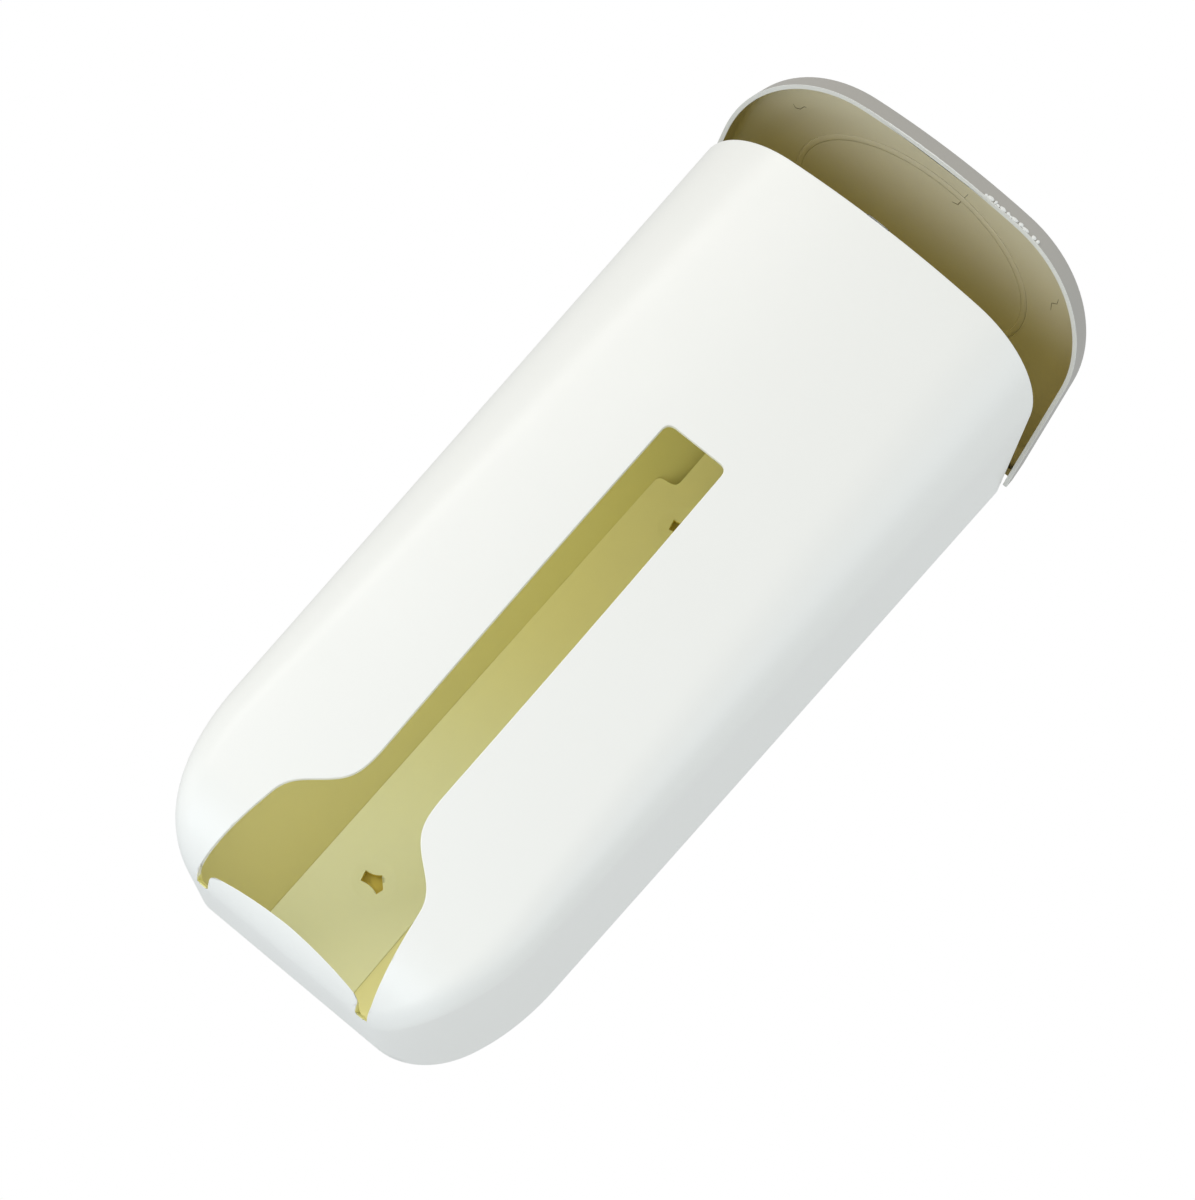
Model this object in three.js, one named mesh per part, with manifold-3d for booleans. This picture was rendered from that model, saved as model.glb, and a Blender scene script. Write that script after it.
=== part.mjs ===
// Wall-mounted bag dispenser: a tall rounded shell with a long dispensing slot, closed at the back by a
// screwed plate, with an inner bag guide, a mounting strip and a hinged lid on top.
// Units are millimetres. +Z is up, the front faces -Y, the back plane that meets the wall is at +Y.
import * as THREE from "three";
import { mergeVertices } from "three/addons/utils/BufferGeometryUtils.js";
import Module from "manifold-3d";

const wasm = await Module();
wasm.setup();

// ---------------------------------------------------------------- driving dimensions
const MID_WIDTH = 130; // outside width of the shell at MID_HEIGHT
const MID_HEIGHT = 150;
const SIDE_TAPER = 0.02; // each side leans outwards by this much per millimetre of height
const DEPTH = 86.5; // back plane to the front of the shell
const FRONT_BOW = 2; // how far the front face bulges at its middle
const WALL = 2.2; // wall of the shell
const FIT = 0.35; // gap between pieces that meet

const BACK_RIM = 271; // height of the sloping rim at the back plane
const RIM_RISE = 22.5; // how much higher the rim is at the front
const CORNER_AT_FLOOR = 8.3; // radius of the upright front corners at floor level
const CORNER_GROWTH = 0.0884; // and how fast that radius grows with height

const SIDE_FILLET_RISE = 52; // bottom rounding along the sides: an ellipse, height by width
const SIDE_FILLET_RUN = 28.5;
const FRONT_FILLET = 28.3; // bottom rounding along the front
const BACK_FILLET = 19.3; // bottom rounding along the back
const CORNER_SHRINK = 0.2; // how much of the fillet's inset comes off the corner radius
const CORNER_LEAST = 8; // what the corner radius keeps at the bottom

const SLOT_HALF_WIDTH = 12; // long front slot
const SLOT_TOP = 201.3;
const SLOT_CORNER = 3.2;
const MOUTH_HALF_WIDTH = 34.7; // wide outlet below the slot, at floor level
const MOUTH_FOOT = 4; // height at which the sides of the outlet run into the notches
const TONGUE_HALF_WIDTH = 30.2; // tongue of the floor that closes the outlet at the bottom
const TONGUE_CROWN = 6.3; // height of the tongue's crowned edge at its middle
const TONGUE_DROP = 3; // how much lower the crowned edge is at its ends
const NOTCH_DEPTH = 60; // how near the back plane the notches beside the tongue end, from the back
const NOTCH_RUNOUT = 13; // the slope inside the floor in which each notch ends
const NOTCH_LIP = 0.15; // what is left of the floor's thickness where that slope begins

const GUIDE_ANGLE = THREE.MathUtils.degToRad(32); // slope of the guide's side panels
const GUIDE_SHEET = 2;
const GUIDE_TOP = 238;
const GUIDE_VALLEY = 14; // valley of the guide, measured forwards from the back plane
const VALLEY_FOLD = 0.6; // how much narrower, on each side, the valley is at its rear face
const GUIDE_OVERRUN = 10; // how far the side panels run past the walls before they are trimmed to them
const CREASE_DEPTH = 22.9; // front face of the mounting strip, forwards from the back plane
const CREASE_AT_FLOOR = 19.2; // half width of the strip where it meets the side panels
const CREASE_TAPER = 0.0117; // that half width shrinks by this much per millimetre of height

const STRIP_SHEET = 2.4;
const STRIP_TOP = 232;
const STRIP_STEP = 197.7; // height where the strip narrows
const STRIP_NECK = 10; // half width of the strip above the step
const SCREW_HEIGHTS = [39.8, 190.8]; // wall screw positions
const UPPER_OPENING_SHIFT = 1; // how far the upper screw opening sits to the right of the middle
const TUBE_OUTER = 6; // guide tube behind each screw opening
const TUBE_BORE = 4.7;
const SEAT_DEPTH = 2; // hollow behind each opening in which a screw head sits
const SEAT_FLOOR = 0.8; // thin floor that the wall screw is driven through
const WALL_SCREW_HOLE = 2.2;

const PLATE_SHEET = 2.4; // back plate
const PLATE_FOOT = 24; // where the shell's own back wall ends and the plate begins
const BOSS_RADIUS = 3.8; // screw bosses inside the shell
const BOSS_LENGTH = 11;
const BOSS_HEIGHTS = [58, 238];
const BOSS_INSET = 4.2; // boss axis from the inner face of the side wall
const WEB_HALF = 1; // half thickness of the web between a boss and the side wall
const PLATE_SCREW_RADIUS = 1.4;
const PLATE_SCREW_LENGTH = 10;
const SCREW_HOLE_SPARE = 2; // depth of the hole in a boss past the tip of its screw
const PLATE_SCREW_HEAD = 2.8;
const PLATE_SCREW_HEAD_HEIGHT = 1.5;

const PIVOT_DEPTH = 9; // lid axis, forwards from the back plane
const PIVOT_HEIGHT = 265.5;
const LID_TILT = THREE.MathUtils.degToRad(32.7); // slope of the lid in the stored, part-open pose
const LID_TILT_MAX = THREE.MathUtils.degToRad(65); // slope at which the lid meets the wall
const LID_END_DEPTH = 7.2; // rear end of the skirt's lower edge in the stored pose
const LID_END_HEIGHT = 272;
const LID_HALF_WIDTH = 70.4;
const LID_FLARE = 0.55; // how much wider the lid gets, on each side, towards its front
const LID_LENGTH = 93;
const LID_CORNER = 43.7;
const LID_BOW = 1.2;
const LID_HEIGHT = 8.9; // skirt and plate together
const LID_WALL = 1.5;
const LID_DRAFT = 0.7; // inset of the skirt's top against its lower edge
const LID_EDGE = 2.2; // rounding between skirt and plate
const LID_WALL_CLEARANCE = 0.4; // what stays between the fully open lid and the wall
const REAR_CUT = 4; // how far forwards of that wall its lower edge is cut free
const LID_REAR_EDGE = 4.2; // lower edge of the lid's rear wall, so that it clears the rim of the shell

const EAR_SHEET = 2.5; // hinge ears under the lid
const EAR_OUTER = 61.9; // outer face of the ears
const EAR_RADIUS = 4.6;
const LUG_SHEET = 2.2; // hinge lugs on the back plate
const LUG_REACH = 14; // how far the lugs stand forwards of the back plane
const LUG_DROP = 16; // how far below the lid's axis a lug meets the plate
const PIN_RADIUS = 1.5;
const PIN_GAP = 0.3;
const PIN_HEAD = 2.6;
const PIN_HEAD_HEIGHT = 1;

const SLIVER = 0.01; // details finer than this are left out of the finished pieces

// ---------------------------------------------------------------- derived places
const BACK_Y = DEPTH / 2;
const RIM_SLOPE = Math.atan2(RIM_RISE, DEPTH);
const TOP = BACK_RIM + RIM_RISE;
const PIVOT_Y = BACK_Y - PIVOT_DEPTH;
const CREASE_Y = BACK_Y - CREASE_DEPTH;
const LUG_INNER = EAR_OUTER + PIN_GAP;
const CLEAR = 1; // how far a cutter runs past what it cuts
const OVERLAP = 0.1; // how far two cutters that meet run into each other

const halfWidthAt = (z) => MID_WIDTH / 2 + SIDE_TAPER * (z - MID_HEIGHT);
const cornerAt = (z) => CORNER_AT_FLOOR + CORNER_GROWTH * z;
const creaseAt = (z) => CREASE_AT_FLOOR - CREASE_TAPER * z;

// ---------------------------------------------------------------- solids
// Turns a closed geometry into a manifold solid.
function solid(geometry) {
  const bare = geometry.clone();
  bare.deleteAttribute("normal");
  bare.deleteAttribute("uv");
  const merged = mergeVertices(bare, 1e-4);
  return new wasm.Manifold(
    new wasm.Mesh({
      numProp: 3,
      vertProperties: merged.attributes.position.array,
      triVerts: new Uint32Array(merged.index.array),
    }),
  );
}

// Turns a manifold solid back into a geometry with flat normals, without slivers.
function geometryOf(manifold) {
  const mesh = manifold.simplify(SLIVER).getMesh();
  const indexed = new THREE.BufferGeometry();
  indexed.setAttribute("position", new THREE.BufferAttribute(mesh.vertProperties, 3));
  indexed.setIndex(new THREE.BufferAttribute(mesh.triVerts, 1));
  const flat = indexed.toNonIndexed();
  flat.computeVertexNormals();
  return flat;
}

// Skins a stack of rings, each a list of Vector3 with the same count, into a closed solid. Seen from above the
// rings run anticlockwise, and each point's mirror image is as far from the end of its ring as it is from the start.
function loft(rings) {
  const count = rings[0].length;
  const index = [];
  for (let i = 0; i < rings.length - 1; i++) {
    for (let j = 0; j < count; j++) {
      const a = i * count + j;
      const b = i * count + ((j + 1) % count);
      index.push(a, b, b + count, a, b + count, a + count);
    }
  }
  const last = (rings.length - 1) * count;
  const addCap = (a, b, c) => index.push(a, c, b, last + a, last + b, last + c);
  for (let j = 0; j < Math.floor((count - 1) / 2); j++) {
    const k = count - 1 - j;
    if (j + 1 < k - 1) addCap(j, j + 1, k - 1);
    addCap(j, k - 1, k);
  }
  const positions = rings.flat().flatMap((p) => [p.x, p.y, p.z]);
  const geometry = new THREE.BufferGeometry();
  geometry.setAttribute("position", new THREE.Float32BufferAttribute(positions, 3));
  geometry.setIndex(index);
  return solid(geometry);
}

// A shape drawn in x and z, extruded along y between two places.
function extrudeAlongY(shape, yBack, yFront) {
  const geometry = new THREE.ExtrudeGeometry(shape, {
    depth: yBack - yFront,
    bevelEnabled: false,
    curveSegments: 8,
  });
  return solid(geometry.rotateX(Math.PI / 2).translate(0, yBack, 0));
}

// A shape drawn in y and z, extruded along x between two places.
function extrudeAlongX(shape, xFrom, xTo) {
  const geometry = new THREE.ExtrudeGeometry(shape, {
    depth: xTo - xFrom,
    bevelEnabled: false,
    curveSegments: 10,
  });
  const turn = new THREE.Matrix4().makeBasis(
    new THREE.Vector3(0, 1, 0),
    new THREE.Vector3(0, 0, 1),
    new THREE.Vector3(1, 0, 0),
  );
  return solid(geometry.applyMatrix4(turn).translate(xFrom, 0, 0));
}

// A shape drawn in x and y, extruded along z between two places.
function extrudeAlongZ(shape, zFrom, zTo) {
  const geometry = new THREE.ExtrudeGeometry(shape, {
    depth: zTo - zFrom,
    bevelEnabled: false,
    curveSegments: 8,
  });
  return solid(geometry.translate(0, 0, zFrom));
}

// A box between two corners.
function box(low, high) {
  const geometry = new THREE.BoxGeometry(high[0] - low[0], high[1] - low[1], high[2] - low[2]);
  const centre = low.map((v, i) => (v + high[i]) / 2);
  return solid(geometry.translate(...centre));
}

// A cylinder along y between two places.
function rodAlongY(radius, x, z, yBack, yFront, sides = 24) {
  const geometry = new THREE.CylinderGeometry(radius, radius, yBack - yFront, sides);
  return solid(geometry.translate(x, (yBack + yFront) / 2, z));
}

// Everything beyond a plane through (0, y, z) whose normal is turned by angle from +Y towards +Z.
function beyond(y, z, angle) {
  const size = 600;
  const geometry = new THREE.BoxGeometry(size, size, size);
  return solid(geometry.translate(0, size / 2, 0).rotateX(angle).translate(0, y, z));
}

// ---------------------------------------------------------------- shared outline
// Plan outline with a straight back, straight sides, round front corners and a bowed front.
// It starts at the right back, y is 0 at the back plane and negative towards the front.
function planOutline(halfWidth, depth, corner, bow, back) {
  const cornerSteps = 9;
  const frontSteps = 6;
  const sideSteps = 3;
  const flat = Math.max(halfWidth - corner, 1);
  const bend = (flat * flat + bow * bow) / (2 * bow);
  const drop = Math.sqrt((bend - corner) ** 2 - flat * flat);
  const cornerY = -depth + bend - drop;
  const turn = Math.atan2(flat, drop);
  const half = [];
  for (let i = 0; i < sideSteps; i++) {
    half.push([halfWidth, THREE.MathUtils.lerp(-back, cornerY, i / sideSteps)]);
  }
  for (let i = 0; i <= cornerSteps; i++) {
    const angle = -(Math.PI / 2 - turn) * (i / cornerSteps);
    half.push([flat + corner * Math.cos(angle), cornerY + corner * Math.sin(angle)]);
  }
  for (let i = 1; i <= frontSteps; i++) {
    const angle = turn * (1 - i / frontSteps);
    half.push([bend * Math.sin(angle), -depth + bend * (1 - Math.cos(angle))]);
  }
  const other = half.slice(0, -1).reverse().map(([x, y]) => [-x, y]);
  return [...half, ...other];
}

// How far an elliptical bottom rounding pulls the wall in at height z above the floor.
function filletInset(z, rise, run) {
  if (z >= rise) return 0;
  return run * (1 - Math.sqrt(1 - ((rise - z) / rise) ** 2));
}

// The shell's outline at height z, moved inwards by skin. With pastBack it runs out through the back instead.
function shellRing(z, skin, pastBack) {
  const above = z - skin;
  const side = filletInset(above, SIDE_FILLET_RISE - skin, SIDE_FILLET_RUN - skin);
  const front = filletInset(above, FRONT_FILLET - skin, FRONT_FILLET - skin);
  const back = filletInset(above, BACK_FILLET - skin, BACK_FILLET - skin);
  const halfWidth = halfWidthAt(z) - skin - side;
  const corner = Math.max(cornerAt(z) - skin - CORNER_SHRINK * Math.min(side, front), CORNER_LEAST - skin);
  const bow = (FRONT_BOW * halfWidth) / halfWidthAt(z);
  const backInset = pastBack ? -CLEAR : skin + back;
  const outline = planOutline(halfWidth, DEPTH - skin - front, corner, bow, backInset);
  return outline.map(([x, y]) => new THREE.Vector3(x, BACK_Y + y, z)).reverse();
}

// The solid that fills the shell's outline, moved inwards by skin.
function shellBlock(skin, pastBack = false) {
  const filletSteps = 12;
  const wallSteps = 4;
  const heights = [];
  for (let i = 0; i <= filletSteps; i++) {
    heights.push(skin + (SIDE_FILLET_RISE - skin) * (i / filletSteps) ** 1.7);
  }
  for (let i = 1; i <= wallSteps; i++) {
    heights.push(THREE.MathUtils.lerp(SIDE_FILLET_RISE, TOP + CLEAR, i / wallSteps));
  }
  return loft(heights.map((z) => shellRing(z, skin, pastBack)));
}

// ---------------------------------------------------------------- shell
// Front opening, drawn in x and z: the slot, the shoulders, the flared outlet and the crowned tongue edge.
function frontOpening() {
  const shape = new THREE.Shape();
  const s = SLOT_HALF_WIDTH;
  const crownEnd = TONGUE_CROWN - TONGUE_DROP;
  shape.moveTo(s, 66);
  shape.lineTo(s, SLOT_TOP - SLOT_CORNER);
  shape.quadraticCurveTo(s, SLOT_TOP, s - SLOT_CORNER, SLOT_TOP);
  shape.lineTo(-(s - SLOT_CORNER), SLOT_TOP);
  shape.quadraticCurveTo(-s, SLOT_TOP, -s, SLOT_TOP - SLOT_CORNER);
  shape.lineTo(-s, 66);
  shape.bezierCurveTo(-s, 56, -13.5, 52.5, -18.5, 48);
  shape.bezierCurveTo(-23.5, 43.5, -28.6, 41, -29.8, 34);
  shape.lineTo(-MOUTH_HALF_WIDTH, MOUTH_FOOT);
  shape.lineTo(-TONGUE_HALF_WIDTH - 1, crownEnd - 1);
  shape.lineTo(-TONGUE_HALF_WIDTH, crownEnd - 1);
  shape.quadraticCurveTo(-TONGUE_HALF_WIDTH + 0.2, crownEnd, -TONGUE_HALF_WIDTH + 2.4, crownEnd + 0.5);
  shape.quadraticCurveTo(-15, TONGUE_CROWN - 0.3, 0, TONGUE_CROWN);
  shape.quadraticCurveTo(15, TONGUE_CROWN - 0.3, TONGUE_HALF_WIDTH - 2.4, crownEnd + 0.5);
  shape.quadraticCurveTo(TONGUE_HALF_WIDTH - 0.2, crownEnd, TONGUE_HALF_WIDTH, crownEnd - 1);
  shape.lineTo(TONGUE_HALF_WIDTH + 1, crownEnd - 1);
  shape.lineTo(MOUTH_HALF_WIDTH, MOUTH_FOOT);
  shape.lineTo(29.8, 34);
  shape.bezierCurveTo(28.6, 41, 23.5, 43.5, 18.5, 48);
  shape.bezierCurveTo(13.5, 52.5, s, 56, s, 66);
  return shape;
}

// The slope in which a notch runs out inside the floor, drawn in y and z.
function notchRunout() {
  const radius = (MOUTH_HALF_WIDTH - TONGUE_HALF_WIDTH) / 2;
  const start = BACK_Y - NOTCH_DEPTH - radius;
  const shape = new THREE.Shape();
  shape.moveTo(start, NOTCH_LIP);
  shape.lineTo(start + NOTCH_RUNOUT, WALL + FIT);
  shape.lineTo(start + NOTCH_RUNOUT, WALL + CLEAR);
  shape.lineTo(start, WALL + CLEAR);
  return shape;
}

// One notch beside the tongue, drawn in x and y: a slit with a round end towards the back.
function notchShape(side) {
  const inner = side * TONGUE_HALF_WIDTH;
  const outer = side * MOUTH_HALF_WIDTH;
  const radius = (MOUTH_HALF_WIDTH - TONGUE_HALF_WIDTH) / 2;
  const endY = BACK_Y - NOTCH_DEPTH;
  const shape = new THREE.Shape();
  shape.moveTo(inner, -BACK_Y - CLEAR);
  shape.lineTo(inner, endY - radius);
  shape.quadraticCurveTo(inner, endY, side * (TONGUE_HALF_WIDTH + radius), endY);
  shape.quadraticCurveTo(outer, endY, outer, endY - radius);
  shape.lineTo(outer, -BACK_Y - CLEAR);
  return shape;
}

// The part of the back that the plate fills, smaller all round by gap and thick from the back plane forwards.
function backWindow(gap, thickness) {
  const half = MID_WIDTH;
  const band = box([-half, BACK_Y - thickness, PLATE_FOOT + gap], [half, BACK_Y + (gap ? 0 : CLEAR), TOP]);
  return shellBlock(WALL + gap, true).intersect(band);
}

// Everything above the sloping rim, or above a plane that lies lower by drop.
const aboveRim = (drop = 0) => beyond(BACK_Y, BACK_RIM - drop, Math.PI / 2 - RIM_SLOPE);

function bossPlaces() {
  return BOSS_HEIGHTS.flatMap((z) => [-1, 1].map((side) => {
    return { x: side * (halfWidthAt(z) - WALL - BOSS_INSET), z };
  }));
}

// Screw bosses: posts along y that lean on the side wall, with a web to it.
function bosses() {
  const yBack = BACK_Y - PLATE_SHEET - FIT;
  const yFront = yBack - BOSS_LENGTH;
  return bossPlaces().map(({ x, z }) => {
    const side = Math.sign(x);
    const web = [x, x + side * (BOSS_INSET + WALL / 2)].sort((a, b) => a - b);
    const post = rodAlongY(BOSS_RADIUS, x, z, yBack, yFront);
    return post.add(box([web[0], yFront, z - WEB_HALF], [web[1], yBack, z + WEB_HALF]));
  });
}

function makeShell() {
  let shell = shellBlock(0).subtract(shellBlock(WALL)).subtract(backWindow(0, BACK_FILLET));
  for (const boss of bosses()) shell = shell.add(boss);
  for (const { x, z } of bossPlaces()) {
    const tip = BACK_Y - PLATE_SCREW_LENGTH - SCREW_HOLE_SPARE;
    shell = shell.subtract(rodAlongY(PLATE_SCREW_RADIUS + FIT, x, z, BACK_Y, tip, 16));
  }
  shell = shell.subtract(aboveRim());
  shell = shell.subtract(extrudeAlongY(frontOpening(), 0, -BACK_Y - CLEAR));
  for (const side of [-1, 1]) {
    shell = shell.subtract(extrudeAlongZ(notchShape(side), -CLEAR, MOUTH_FOOT + OVERLAP));
    const edges = [side * TONGUE_HALF_WIDTH, side * MOUTH_HALF_WIDTH].sort((a, b) => a - b);
    shell = shell.subtract(extrudeAlongX(notchRunout(), edges[0], edges[1]));
  }
  return shell;
}

// ---------------------------------------------------------------- back plate with hinge lugs
function makeBackPlate() {
  let plate = backWindow(FIT, PLATE_SHEET).subtract(aboveRim(FIT));
  for (const side of [-1, 1]) {
    const faces = [side * LUG_INNER, side * (LUG_INNER + LUG_SHEET)].sort((a, b) => a - b);
    const lug = new THREE.Shape();
    const foot = BACK_Y - PLATE_SHEET / 2;
    lug.moveTo(foot, PIVOT_HEIGHT - LUG_DROP);
    lug.absarc(PIVOT_Y, PIVOT_HEIGHT, LUG_REACH - PIVOT_DEPTH, -Math.PI * 0.7, -Math.PI * 1.5, true);
    lug.lineTo(foot, PIVOT_HEIGHT + LUG_REACH - PIVOT_DEPTH);
    plate = plate.add(extrudeAlongX(lug, faces[0], faces[1]));
    const bore = new THREE.Shape().absarc(PIVOT_Y, PIVOT_HEIGHT, PIN_RADIUS + PIN_GAP, 0, 2 * Math.PI);
    plate = plate.subtract(extrudeAlongX(bore, faces[0] - CLEAR, faces[1] + CLEAR));
  }
  for (const z of SCREW_HEIGHTS) {
    plate = plate.subtract(rodAlongY(WALL_SCREW_HOLE, 0, z, BACK_Y + CLEAR, BACK_Y - PLATE_SHEET - CLEAR));
  }
  for (const { x, z } of bossPlaces()) {
    const hole = rodAlongY(PLATE_SCREW_RADIUS + FIT, x, z, BACK_Y + CLEAR, BACK_Y - PLATE_SHEET - CLEAR, 16);
    const sink = rodAlongY(
      PLATE_SCREW_HEAD + FIT, x, z, BACK_Y + CLEAR, BACK_Y - PLATE_SCREW_HEAD_HEIGHT - FIT,
    );
    plate = plate.subtract(hole).subtract(sink);
  }
  return plate;
}

// ---------------------------------------------------------------- bag guide
// The guide's section at height z: a folded sheet with a flat valley and two sloping side panels.
function guideRing(z) {
  const rise = Math.tan(GUIDE_ANGLE);
  const crease = creaseAt(z);
  const valleyHalf = crease - (CREASE_DEPTH - GUIDE_VALLEY) / rise;
  const outer = MID_WIDTH / 2 + GUIDE_OVERRUN;
  const outerDepth = CREASE_DEPTH + (outer - crease) * rise;
  const back = GUIDE_SHEET / Math.cos(GUIDE_ANGLE);
  const front = [
    [-outer, outerDepth],
    [-valleyHalf, GUIDE_VALLEY],
    [valleyHalf, GUIDE_VALLEY],
    [outer, outerDepth],
  ];
  const rear = [
    [outer, outerDepth - back],
    [valleyHalf - VALLEY_FOLD, GUIDE_VALLEY - GUIDE_SHEET],
    [VALLEY_FOLD - valleyHalf, GUIDE_VALLEY - GUIDE_SHEET],
    [-outer, outerDepth - back],
  ];
  return [...front, ...rear].map(([x, depth]) => new THREE.Vector3(x, BACK_Y - depth, z));
}

function makeGuide() {
  let guide = loft([guideRing(0), guideRing(GUIDE_TOP)]);
  guide = guide.intersect(shellBlock(WALL + FIT));
  for (const z of SCREW_HEIGHTS) {
    guide = guide.subtract(rodAlongY(TUBE_OUTER + FIT, 0, z, BACK_Y, BACK_Y - CREASE_DEPTH));
  }
  return guide;
}

// ---------------------------------------------------------------- mounting strip
// The strip's outline, drawn in x and z, moved inwards by inset below the step.
function stripOutline(inset) {
  const foot = WALL + 2 * FIT;
  const shoulder = creaseAt(STRIP_STEP) - inset;
  const neck = STRIP_NECK - inset;
  const shape = new THREE.Shape();
  const side = [
    [creaseAt(foot) - inset, foot],
    [shoulder, STRIP_STEP],
  ];
  shape.moveTo(-side[0][0], side[0][1]);
  shape.lineTo(side[0][0], side[0][1]);
  shape.lineTo(side[1][0], side[1][1]);
  shape.quadraticCurveTo(shoulder - 0.2, STRIP_STEP + 2, shoulder - 2.6, STRIP_STEP + 2.4);
  shape.bezierCurveTo(neck + 1.4, STRIP_STEP + 2.5, neck + 0.2, STRIP_STEP + 3, neck, STRIP_STEP + 5);
  shape.lineTo(neck, STRIP_TOP - 4);
  shape.quadraticCurveTo(neck, STRIP_TOP, neck - 4, STRIP_TOP);
  shape.lineTo(4 - neck, STRIP_TOP);
  shape.quadraticCurveTo(-neck, STRIP_TOP, -neck, STRIP_TOP - 4);
  shape.lineTo(-neck, STRIP_STEP + 5);
  const ledge = STRIP_STEP + 2.4;
  shape.bezierCurveTo(-neck - 0.2, STRIP_STEP + 3, -neck - 1.4, STRIP_STEP + 2.5, 2.6 - shoulder, ledge);
  shape.quadraticCurveTo(0.2 - shoulder, STRIP_STEP + 2, -shoulder, STRIP_STEP);
  return shape;
}

// Screw opening with hollowed sides, drawn in x and z around its centre.
function screwOpening(x, z) {
  const shape = new THREE.Shape();
  shape.moveTo(x - 4.3, z + 0.9);
  shape.quadraticCurveTo(x - 1.4, z + 1, x + 0.8, z + 3);
  shape.lineTo(x + 4.1, z - 0.4);
  shape.lineTo(x + 3.4, z - 2.8);
  shape.quadraticCurveTo(x + 0.3, z - 1.4, x - 3.4, z - 2.6);
  return shape;
}

// The strip is built as a stack of thinner layers, so that its long edges are bevelled to lie on the guide.
function makeStrip() {
  const layers = 4;
  const bevel = 1 / Math.tan(GUIDE_ANGLE);
  const proud = 0.2; // share of a layer's step by which it stands out towards the guide
  let strip = null;
  for (let i = 0; i < layers; i++) {
    const back = (STRIP_SHEET * (i + 1)) / layers;
    const front = (STRIP_SHEET * i) / layers - (i > 0 ? SLIVER : 0);
    const inset = FIT / Math.sin(GUIDE_ANGLE) + back * bevel - (STRIP_SHEET / layers) * bevel * proud;
    const layer = extrudeAlongY(stripOutline(inset), CREASE_Y + back, CREASE_Y + front);
    strip = strip ? strip.add(layer) : layer;
  }
  for (const z of SCREW_HEIGHTS) {
    const tubeBack = BACK_Y - PLATE_SHEET - FIT;
    const tube = rodAlongY(TUBE_OUTER, 0, z, tubeBack, CREASE_Y + STRIP_SHEET / 2);
    const seatFloor = CREASE_Y + STRIP_SHEET + SEAT_DEPTH;
    const seat = rodAlongY(TUBE_BORE, 0, z, seatFloor, CREASE_Y + STRIP_SHEET);
    const bore = rodAlongY(TUBE_BORE, 0, z, BACK_Y, seatFloor + SEAT_FLOOR);
    const shift = z > MID_HEIGHT ? UPPER_OPENING_SHIFT : 0;
    const opening = extrudeAlongY(screwOpening(shift, z), CREASE_Y + STRIP_SHEET + CLEAR, CREASE_Y - CLEAR);
    strip = strip.add(tube).subtract(seat).subtract(bore).subtract(opening);
  }
  return strip;
}

// ---------------------------------------------------------------- lid
// The lid has its own frame: the origin is at the rear end of the skirt's lower edge, -Y runs along the lid
// to its front and +Z is square to it, through the plate.
function lidRing(z, inset) {
  const outline = planOutline(
    LID_HALF_WIDTH - inset, LID_LENGTH - inset, LID_CORNER - inset, LID_BOW, inset,
  );
  return outline.map(([x, y]) => {
    const flare = 1 + (LID_FLARE / LID_HALF_WIDTH) * (-2 * y / LID_LENGTH - 1);
    return new THREE.Vector3(x * flare, y, z);
  }).reverse();
}

// The lid's outer block, or its hollow when skin is the wall.
function lidBlock(skin) {
  const crown = LID_HEIGHT - skin;
  const edge = LID_EDGE - skin / 2;
  const edgeSteps = 4;
  const rings = [lidRing(skin ? -CLEAR : 0, skin)];
  for (let i = 0; i <= edgeSteps; i++) {
    const angle = (Math.PI / 2) * (i / edgeSteps);
    const z = crown - edge + edge * Math.sin(angle);
    const inset = skin + (LID_DRAFT * z) / LID_HEIGHT + edge * (1 - Math.cos(angle));
    rings.push(lidRing(z, inset));
  }
  return loft(rings);
}

// The pivot in the lid's own frame.
function pivotInLid() {
  const dy = PIVOT_Y - (BACK_Y - LID_END_DEPTH);
  const dz = PIVOT_HEIGHT - LID_END_HEIGHT;
  return {
    y: dy * Math.cos(LID_TILT) - dz * Math.sin(LID_TILT),
    z: dy * Math.sin(LID_TILT) + dz * Math.cos(LID_TILT),
  };
}

// What the wall would cut off the lid when it is fully open, less a skin.
function wallCut(skin) {
  const pivot = pivotInLid();
  const reach = PIVOT_DEPTH - LID_WALL_CLEARANCE - skin;
  const y = pivot.y + reach * Math.cos(LID_TILT_MAX);
  const z = pivot.z + reach * Math.sin(LID_TILT_MAX);
  return beyond(y, z, LID_TILT_MAX);
}

// A hinge ear, drawn in y and z of the lid's frame: a round eye at the pivot that widens up to the plate.
function earShape() {
  const pivot = pivotInLid();
  const root = LID_HEIGHT - LID_WALL / 2;
  const shape = new THREE.Shape();
  shape.absarc(pivot.y, pivot.z, EAR_RADIUS, -Math.PI * 0.95, Math.PI * 0.02, false);
  shape.lineTo(-LID_WALL / 2, 1);
  shape.lineTo(-LID_WALL / 2, 3);
  shape.lineTo(-6.5, root);
  shape.lineTo(-10.5, root);
  return shape;
}

function makeLid() {
  let lid = lidBlock(0).subtract(wallCut(0));
  lid = lid.subtract(lidBlock(LID_WALL).subtract(wallCut(LID_WALL)));
  const rearGap = LID_HALF_WIDTH - LID_FLARE - LID_WALL;
  lid = lid.subtract(box([-rearGap, -LID_WALL - REAR_CUT, -CLEAR], [rearGap, CLEAR, LID_REAR_EDGE]));
  const pivot = pivotInLid();
  const bore = new THREE.Shape().absarc(pivot.y, pivot.z, PIN_RADIUS + PIN_GAP, 0, 2 * Math.PI);
  for (const side of [-1, 1]) {
    const faces = [side * EAR_OUTER, side * (EAR_OUTER - EAR_SHEET)].sort((a, b) => a - b);
    lid = lid.add(extrudeAlongX(earShape(), faces[0], faces[1]).subtract(wallCut(LID_WALL / 2)));
    lid = lid.subtract(extrudeAlongX(bore, faces[0] - CLEAR, faces[1] + CLEAR));
  }
  return lid;
}

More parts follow.
